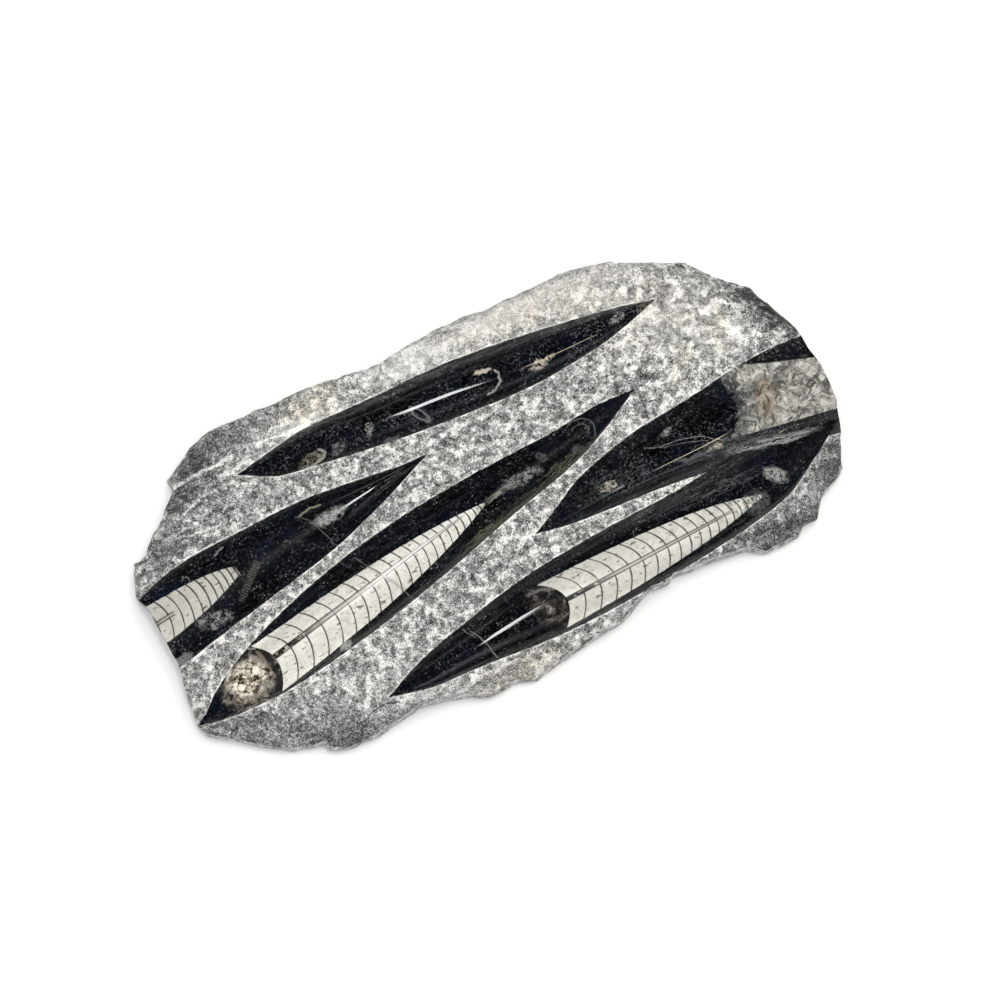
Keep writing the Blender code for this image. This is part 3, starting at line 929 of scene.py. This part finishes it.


# Spots in the polished stone, and two olive bands that are a painted reflection: place, half
# length, half width, heading, palest colour, share covered.  Long spots are fibrous, short ones crumble
# into grains.
Spot = namedtuple("Spot", "x y length width heading color cover")
CREAM = (0.50, 0.46, 0.38)
PALE_GREY = (0.30, 0.30, 0.29)
FAINT_GREY = (0.16, 0.16, 0.16)
SMOKE = (0.085, 0.088, 0.09)
# Olive tone of a painted reflection: warm light on the lower flank of the middle ridge.
PAINTED_OLIVE_SHEEN = (0.080, 0.080, 0.058)
BLUE = (0.007, 0.013, 0.028)
SPOTS = {
    "upper_ridge": (
        (-79, 60, 8.0, 3.4, 14, (0.22, 0.20, 0.16), 0.50),
        (-63, 60, 5.0, 2.6, 10, FAINT_GREY, 0.55),
        (28, 64, 5.0, 1.7, -8, CREAM, 0.95),
        (-43, 62, 3.4, 2.4, 30, PALE_GREY, 0.55),
        (-35, 52, 5.5, 1.8, 4, SMOKE, 0.8),
        (60, 54, 8.0, 2.2, 8, CREAM, 0.55),
        (109, 60, 6.0, 2.4, 10, PALE_GREY, 0.50),
        (126, 58.5, 7.0, 2.4, 0, (0.16, 0.14, 0.12), 0.55),
    ),
    "left_ridge": (
        (-84, 27, 9.5, 4.0, 4, PALE_GREY, 0.62),
        (-164, 3, 10.0, 4.2, -8, PALE_GREY, 0.48),
        (-189, -10, 6.0, 3.4, 15, FAINT_GREY, 0.75),
        (-182, 29.5, 11.0, 2.6, 4, BLUE, 0.50),
        (-118, 27, 16.0, 5.0, 10, BLUE, 0.36),
    ),
    "middle_ridge": (
        (20, 0, 12.5, 3.3, 2, (0.22, 0.22, 0.21), 0.52),
        (35, 6, 2.4, 3.6, 20, SMOKE, 0.6),
        (4, -3, 8.0, 1.0, 12, PALE_GREY, 0.5),
        (54, 2, 4.0, 1.8, 20, SMOKE, 0.6),
        (-106, -41, 3.4, 2.2, 10, PALE_GREY, 0.8),
        # These two olive bands along the lower flank are a painted reflection of warm light, not a tint
        # of the stone.
        (40, -4, 22.0, 3.0, 14, PAINTED_OLIVE_SHEEN, 0.52),
        (-2, -16, 30.0, 3.2, 14, PAINTED_OLIVE_SHEEN, 0.55),
    ),
    "right_ridge": (
        (104, -10.5, 4.0, 1.8, 10, PALE_GREY, 0.55),
        (66, -25, 26.0, 8.0, -4, SMOKE, 0.36),
        (61, -25, 5.0, 2.4, 10, CREAM, 0.50),
        (124, -31, 6.0, 1.8, -8, CREAM, 0.5),
        (154, -41, 26.0, 3.0, -12, PALE_GREY, 0.52),
        (138, -33, 22.0, 3.4, -12, SMOKE, 0.52),
        (112, -31, 12.0, 1.4, -8, SMOKE, 0.9),
    ),
    "lower_ridge": (
        (147, -59, 7.0, 4.0, -50, PALE_GREY, 0.58),
        (130, -68, 8.0, 6.0, 0, SMOKE, 0.66),
        (100, -50, 40.0, 5.0, -4, SMOKE, 0.40),
        (154, -41, 26.0, 3.0, -12, PALE_GREY, 0.52),
        (138, -33, 22.0, 3.4, -12, SMOKE, 0.52),
    ),
}
LINES = {
    "upper_ridge": (
        (((-88, 57), (-79, 57.5), (-73, 59), (-70, 61), (-73, 64)), 1.6, PALE_GREY, 0.85),
        (((33, 62), (35, 59), (34, 55), (30, 52), (25, 52)), 1.5, PALE_GREY, 0.9),
    ),
    "left_ridge": (
        (((-101, 35.5), (-95, 30), (-87, 11), (-86, 4)), 0.8, SMOKE, 0.9),
        (((-99, 34.5), (-92, 37), (-86, 35.5)), 1.7, (0.26, 0.24, 0.20), 1.0),
        (((-150, 35), (-147, 37), (-144, 38)), 1.5, FAINT_GREY, 0.9),
    ),
    "middle_ridge": (
        (((-81, 1), (-75, -11), (-66, -25), (-60, -38)), 0.9, SMOKE, 0.9),
    ),
    "right_ridge": (
        (((89, -14), (94, -17), (108, -19), (119, -22), (130, -30)), 0.6, PALE_GREY, 0.6),
        (((96, -18), (110, -22), (122, -26)), 0.5, FAINT_GREY, 0.6),
    ),
    "lower_ridge": (
        (((-42, -63), (-37, -75), (-35, -83)), 0.9, FAINT_GREY, 0.9),
        (((-45, -61), (-41, -69)), 0.8, FAINT_GREY, 0.8),
        (((143, -54), (149, -57), (147, -63)), 1.1, PALE_GREY, 0.85),
    ),
}


FIBROUS = 4.0            # a spot this many times as long as it is wide is fibrous


def spot_mask(stone, spot, crystals):
    """Mask of one spot, fading out at its edge and crumbling into grains."""
    place = stone.turned(spot.x, spot.y, spot.heading, stone.loose)
    if spot.length > FIBROUS * spot.width:
        crystals = stone.fibres(place, (0.05, 1.1), 4.0, 0.7)
    low = 0.62 - 0.34 * spot.cover
    inside = stone.oval(place, spot.length, spot.width).step(0.35, 1.5, 1.0, 0.0)
    return inside * crystals.step(low, low + 0.14)


# Rings: place, half length, half width and heading; the line's width, its colour and
# strength; and where the ring begins: -2 is closed, 0 is half a ring.
Ring = namedtuple("Ring", "x y length width heading line color strength open")
RINGS = {
    "upper_ridge": (Ring(-14.5, 57.5, 5.7, 2.0, -55, 0.9, FAINT_GREY, 0.8, -2.0),),
    "left_ridge": (Ring(-170, 29, 2.6, 2.0, 60, 0.6, FAINT_GREY, 0.7, -0.3),),
    "middle_ridge": (Ring(60, 8, 10.0, 8.5, 45, 0.8, SMOKE, 0.8, 0.0),
                     Ring(60, 8, 6.5, 5.0, 45, 0.7, SMOKE, 0.7, 0.0)),
    "right_ridge": (Ring(188, -22, 2.1, 1.8, 0, 0.7, (0.05, 0.045, 0.04), 0.9, -2.0),),
    "lower_ridge": (),
}


def ring_mask(stone, ring):
    """Mask of a ring, perhaps open at the back."""
    place = stone.turned(ring.x, ring.y, ring.heading, stone.loose)
    reach = stone.math("SQRT", stone.oval(place, ring.length, ring.width))
    line = (abs(reach - 1.0) * ring.width).step(0.25 * ring.line, 0.8 * ring.line, 1.0, 0.0)
    drawn = (stone.split(place)[0] / ring.length).step(ring.open, ring.open + 0.5)
    return line * drawn * ring.strength


# How each relief is polished: it is bright at the first distance from its tail and
# satin at the second; the last number is how dusty its black stone looks.
POLISH = {
    "upper_ridge": (260.0, 270.0, 1.5),
    "left_ridge": (172.0, 156.0, 0.8),
    "middle_ridge": (190.0, 225.0, 0.75),
    "right_ridge": (62.0, 42.0, 1.25),
    "lower_ridge": (240.0, 260.0, 0.75),
}


def polished_stone(name):
    """A polished relief: near-black stone with its shell, flecks and hairlines."""
    stone = Recipe("polished limestone, " + name.replace("_", " "))
    bright_at, satin_at, dusty = POLISH[name]
    course = stone.layer("course", "Vector")
    cloud = stone.noise(22.0, 3.0, 0.55, 0.3).step(0.35, 0.7)
    color = stone.mix(cloud, (0.0010, 0.0011, 0.0014), (0.0025, 0.0040, 0.0075))
    # Grey streaky bands on the cove walls: a painted reflection of the bright room, mixed into the black
    # stone's colour.
    painted_sheen = stone.layer("painted_sheen") * stone.fibres(course, (0.05, 1.6), 3.0, 0.6).step(0.36, 0.62, 0.22, 1.0)
    painted_sheen *= stone.fibres(course, (0.03, 0.5), 2.0, 0.5, shift=0.3).step(0.3, 0.6, 0.35, 1.0)
    color = stone.mix(painted_sheen, color, (0.072, 0.072, 0.069))
    drift = stone.noise(13.0, 4.0, 0.65, 0.8, 0.15).step(0.40, 0.66)
    dust = stone.noise(1.7, 4.0, 0.85).step(0.50, 0.74) * drift.step(0.0, 1.0, 0.28 * dusty, dusty)
    color = stone.mix(dust.least(1.0), color, (0.150, 0.157, 0.170))
    specks = stone.grains(1.7).step(0.16, 0.30, 1.0, 0.0) * stone.grains(1.7, "Color").step(0.62, 0.86)
    color = stone.mix(specks * drift, color, (0.20, 0.205, 0.21))
    stone.loosen(6.0, 7.0)
    crystals = stone.noise(2.2, 5.0, 0.8, 0.8)
    for spot in map(Spot._make, SPOTS[name]):
        color = stone.mix(spot_mask(stone, spot, crystals), color, spot.color)
    stone.loosen(8.0, 3.0)
    color = draw_lines(stone, LINES[name], color)
    if name == "left_ridge":
        color = ribbed_cone(stone, color)
    if name == "right_ridge":
        color = calcite_patch(stone, color)
    for ring in RINGS[name]:
        color = stone.mix(ring_mask(stone, ring), color, ring.color)
    if name in CHAMBERS:
        color = body_chamber(stone, CHAMBERS[name], color)
    if name == "middle_ridge":
        color = crystal_mass(stone, color)
    satin_shell = 0.0
    if name in SHELLS:
        color, shell = paint_shell(stone, SHELLS[name], color)
        satin_shell = shell * SHELLS[name].satin
    crumbled = stone.layer("rim").step(0.05, 0.55, 1.0, 0.0) * stone.noise(3.4, 3.0, 0.6).step(0.42, 0.58)
    color = stone.mix(crumbled * 0.85, color, (0.46, 0.46, 0.44))
    flank = abs(stone.layer("side"))
    satin = stone.split(course)[0].step(bright_at, satin_at)
    roughness = flank.step(0.36, 0.70, 0.06, 0.40).most(satin * 0.32)
    roughness = roughness.most(satin_shell).most(crumbled * 0.6)
    gloss = flank.step(0.40, 0.72, 0.5, 0.03) * (satin * -0.8 + 1.0)
    return stone.finish(color, roughness, gloss=gloss)


RIBBED_CONE = (-138.5, 13.5, 41.0)    # its place and heading


def ribbed_cone(stone, color):
    """A small grey cone with fine ribs, on the flank of the left ridge."""
    along, across, _ = stone.split(stone.turned(*RIBBED_CONE))
    cone = (along * 0.03 + 1.9 - abs(across)).step(-0.5, 0.5) * abs(along).step(10.5, 12.5, 1.0, 0.0)
    cone *= stone.math("PINGPONG", along, 0.75).step(0.15, 0.6, 0.25, 1.0)
    cone *= stone.noise(1.2, 3.0, 0.7).step(0.36, 0.6, 0.3, 1.0)
    return stone.mix(cone * 0.75, color, (0.11, 0.105, 0.095))


# The calcite at the right edge, and the rusty stain on it: places and headings.
CALCITE_PATCH = (139.0, -18.0, -9.0)
RUSTY_STAIN = (161.5, -19.0, 68.0)
# Dark lines in it: their size, width and strength.
MARBLING = ((13.0, 0.045, 0.95), (7.0, 0.040, 0.7), (3.0, 0.030, 0.4))


def calcite_patch(stone, color):
    """White calcite that fills the shell at the right edge, marbled with dark lines."""
    along, across, _ = stone.split(stone.turned(*CALCITE_PATCH))
    # Edges of the patch: straight above and below, ragged where it meets black stone.
    top = along * -0.20 + 29.4 - across
    bottom = across + 13.5
    lean = across - 8.0
    start = lean * lean * 0.02 + along - 6.3 + stone.noise(4.0, 4.0, 0.7).swing(11.0)
    mask = top.least(bottom).least(start).step(-0.2, 0.7)
    clouds = stone.noise(7.5, 5.0, 0.68, 1.0) + stone.noise(1.3, 4.0, 0.8).swing(0.24)
    white = stone.ramp(clouds, ((0.34, (0.06, 0.06, 0.057)), (0.44, (0.20, 0.195, 0.18)),
                                (0.53, (0.41, 0.40, 0.37)), (0.66, (0.64, 0.63, 0.59))))
    for size, width, strength in MARBLING:
        ridge = abs(stone.noise(size, 4.0, 0.6, 1.2, size * 0.013).swing(1.0))
        lines = ridge.step(0.0, width, strength, 0.0)
        lines *= stone.noise(size, 2.0, 0.5, 0.0, 0.9).step(0.42, 0.56)
        white = stone.mix(lines, white, (0.055, 0.055, 0.05))
    smoke = start.step(0.0, 16.0, 1.0, 0.0) * stone.noise(3.2, 4.0, 0.7, 0.5, 0.6).step(0.36, 0.52)
    smoke *= abs(across - 9.0).step(4.0, 16.0, 1.0, 0.55)
    white = stone.mix(smoke, white, (0.03, 0.031, 0.033))
    # Rusty stain, with dark wisps drawn out along it.
    place = stone.turned(*RUSTY_STAIN, stone.loose)
    stain = stone.oval(place, 12.0, 6.5).step(0.3, 1.5, 1.0, 0.0)
    wisps = stone.fibres(place, (0.10, 0.42), 3.0, 0.6, 0.3).step(0.50, 0.64, 0.0, 0.85)
    white = stone.mix(stain * 0.5, white, (0.25, 0.19, 0.12))
    white = stone.mix(stain * wisps, white, (0.045, 0.036, 0.026))
    return stone.mix(mask, color, white)


# Living chambers at the wide ends of two shells: place and heading, half length,
# half width, and the tones of their filling, with crystals and dark swirls on it.
Chamber = namedtuple("Chamber", "place length width size tones swirls")
CHAMBERS = {
    "middle_ridge": Chamber(
        (-160.0, -36.0, 20), 20.0, 14.0, 5.0, (
            (0.36, (0.012, 0.013, 0.015)), (0.44, (0.05, 0.045, 0.04)),
            (0.50, (0.18, 0.16, 0.13)), (0.60, (0.32, 0.30, 0.26))),
        ((((-157, -20), (-152, -19), (-148, -24), (-146.5, -31), (-146, -38), (-148, -47)),
                5.2, (0.013, 0.013, 0.014), 0.95),
         (((-151, -23), (-149, -31), (-148, -40)), 1.6, (0.20, 0.16, 0.12), 0.75),
         (((-155, -19.5), (-151, -21)), 1.3, (0.30, 0.29, 0.27), 0.7))),
    "lower_ridge": Chamber(
        (3.0, -69.0, 8), 12.0, 17.0, 4.0, (
            (0.42, (0.008, 0.008, 0.008)), (0.52, (0.026, 0.023, 0.020)),
            (0.60, (0.09, 0.082, 0.072)), (0.70, (0.36, 0.35, 0.33))),
        ((((-6, -60), (2, -60), (9, -64)), 2.2, (0.20, 0.20, 0.19), 0.6),)),
}
CRYSTAL_MASS = Spot(-162, -34.5, 11.5, 9.5, 20, None, 1.0)
CRYSTAL_TONES = ((0.14, (0.02, 0.017, 0.014)), (0.27, (0.15, 0.11, 0.075)), (0.42, (0.42, 0.37, 0.28)),
                 (0.60, (0.64, 0.60, 0.50)), (0.85, (0.84, 0.81, 0.73)))


def body_chamber(stone, chamber, color):
    """A crystal-filled living chamber at the wide end of a shell."""
    reach = stone.oval(stone.turned(*chamber.place), chamber.length, chamber.width)
    mask = (reach + stone.noise(4.0, 3.0, 0.6).swing(1.4)).step(0.45, 1.1, 1.0, 0.0)
    color = stone.mix(mask, color, stone.ramp(stone.noise(chamber.size, 5.0, 0.72, 0.6), chamber.tones))
    return draw_lines(stone, chamber.swirls, color)


def crystal_mass(stone, color):
    """Cream crystals packed in the living chamber of the long shell."""
    stone.loosen(5.0, 12.0)
    grains = stone.noise(2.4, 3.0, 0.7, 0.5, 0.2)
    mask = spot_mask(stone, CRYSTAL_MASS, grains + 0.02)
    stone.loosen(3.0, 2.5)
    tone = stone.grains(3.6, "Color") * 0.60 + grains.swing(1.8)
    tone -= stone.grains(3.6).step(0.42, 0.75, 0.0, 0.30)
    tone += stone.noise(0.9, 2.0, 0.7).swing(0.9) + 0.28
    return stone.mix(mask, color, stone.ramp(tone, CRYSTAL_TONES))


def broken_stone():
    """Broken edge: grey split stone, darker than the pecked ground."""
    stone = Recipe("broken limestone")
    tone = stone.noise(6.0, 4.0, 0.6, 0.5).swing(1.2) + stone.noise(1.6, 4.0, 0.75).swing(1.1)
    tone += stone.grains(0.8, "Color").swing(0.16) + 0.56
    grain = stone.noise(1.4, 5.0, 0.7)
    return stone.finish(stone.ramp(tone, STONE_TONES), 0.85, stone.bump(grain, 0.6, 0.8))


def sawn_stone():
    """Base: sawn flat, with the faint arcs of the blade."""
    stone = Recipe("sawn limestone")
    blade = stone.add("ShaderNodeMapping", {"Location": (0.6, 0.9, 0.0), "Vector": stone.place})
    wave = stone.add("ShaderNodeTexWave", {
        "Vector": blade.outputs["Vector"], "Scale": 60.0, "Distortion": 1.5}, wave_type="RINGS")
    arcs = Value(stone, wave.outputs["Fac"])
    tone = arcs * 0.05 + stone.noise(4.0, 5.0, 0.7).swing(0.4) + 0.30
    return stone.finish(stone.ramp(tone, STONE_TONES), 0.6, stone.bump(arcs, 0.1, 0.5))


# ------------------------------------------------------------------ the studio

CAMERA_TARGET = Vector((4.43, -5.24, 25.0))
CAMERA_DISTANCE = 1299.0
CAMERA_ELEVATION = 78.0
SLAB_TURN = 26.0         # how far the slab's length is turned from level in the view
LENS = 85.0
ROOM_GLOW = (0.0, 0.5, 1.1, 0.03)   # sine of the elevation, from and to; glow there
ROOM_SIDES = (-0.5, 0.4, 1.0, 0.08)  # how far towards the back, from and to; share there


def make_camera():
    turn = math.radians(SLAB_TURN)
    tilt = math.radians(CAMERA_ELEVATION)
    right = Vector((math.cos(turn), -math.sin(turn), 0.0))
    away = Vector((math.sin(turn), math.cos(turn), 0.0))
    forward = away * math.cos(tilt) - Vector((0, 0, 1)) * math.sin(tilt)
    up = away * math.sin(tilt) + Vector((0, 0, 1)) * math.cos(tilt)
    camera = bpy.data.objects.new("camera", bpy.data.cameras.new("camera"))
    camera.data.lens = LENS
    camera.data.sensor_width = 36.0
    camera.data.clip_end = 20.0
    place = (CAMERA_TARGET - forward * CAMERA_DISTANCE) * MM
    camera.matrix_world = Matrix.Translation(place) @ Matrix((right, up, -forward)).transposed().to_4x4()
    bpy.context.scene.collection.objects.link(camera)
    bpy.context.scene.camera = camera


def softbox(name, place, width, height, radiance, color=(1.0, 1.0, 1.0), mirrored=True):
    """A lamp overhead with a plain rectangular face; it may be left out of reflections."""
    data = bpy.data.lights.new(name, "AREA")
    data.shape = "RECTANGLE"
    data.size = width * MM
    data.size_y = height * MM
    data.energy = radiance * math.pi * width * MM * height * MM
    data.color = color
    lamp = bpy.data.objects.new(name, data)
    lamp.location = Vector(place) * MM
    lamp.visible_glossy = mirrored
    bpy.context.scene.collection.objects.link(lamp)


def make_studio():
    softbox("white lamp", (64, -90, 1500), 140, 640, 20.0)
    softbox("warm lamp", (385, -90, 1500), 210, 130, 22.0, (1.0, 0.86, 0.62))
    softbox("ceiling bounce", (60, 60, 1600), 2400, 2400, 2.2, mirrored=False)
    world = bpy.data.worlds.new("studio")
    room = Recipe("studio", world)
    _, backwards, upwards = room.split(room.place)
    glow = upwards.step(*ROOM_GLOW, "SMOOTHERSTEP") * backwards.step(*ROOM_SIDES, "SMOOTHERSTEP")
    room.feed(room.shader.inputs["Color"], (0.96, 0.98, 1.0, 1.0))
    room.feed(room.shader.inputs["Strength"], glow)
    bpy.context.scene.world = world
    bpy.context.scene.view_settings.view_transform = "Standard"
    bpy.ops.mesh.primitive_plane_add(size=8.0, location=(0.0, 0.0, -0.0005))
    floor = bpy.context.active_object
    floor.name = "floor"
    paint = Recipe("pale floor")
    floor.data.materials.append(paint.finish((0.92, 0.92, 0.92, 1.0), 0.9))


slab = make_slab()
for finish in (pecked_stone(), broken_stone(), sawn_stone(), *map(polished_stone, RELIEFS)):
    slab.data.materials.append(finish)
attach(slab, "root")
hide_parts("fossil_slab")
make_camera()
make_studio()
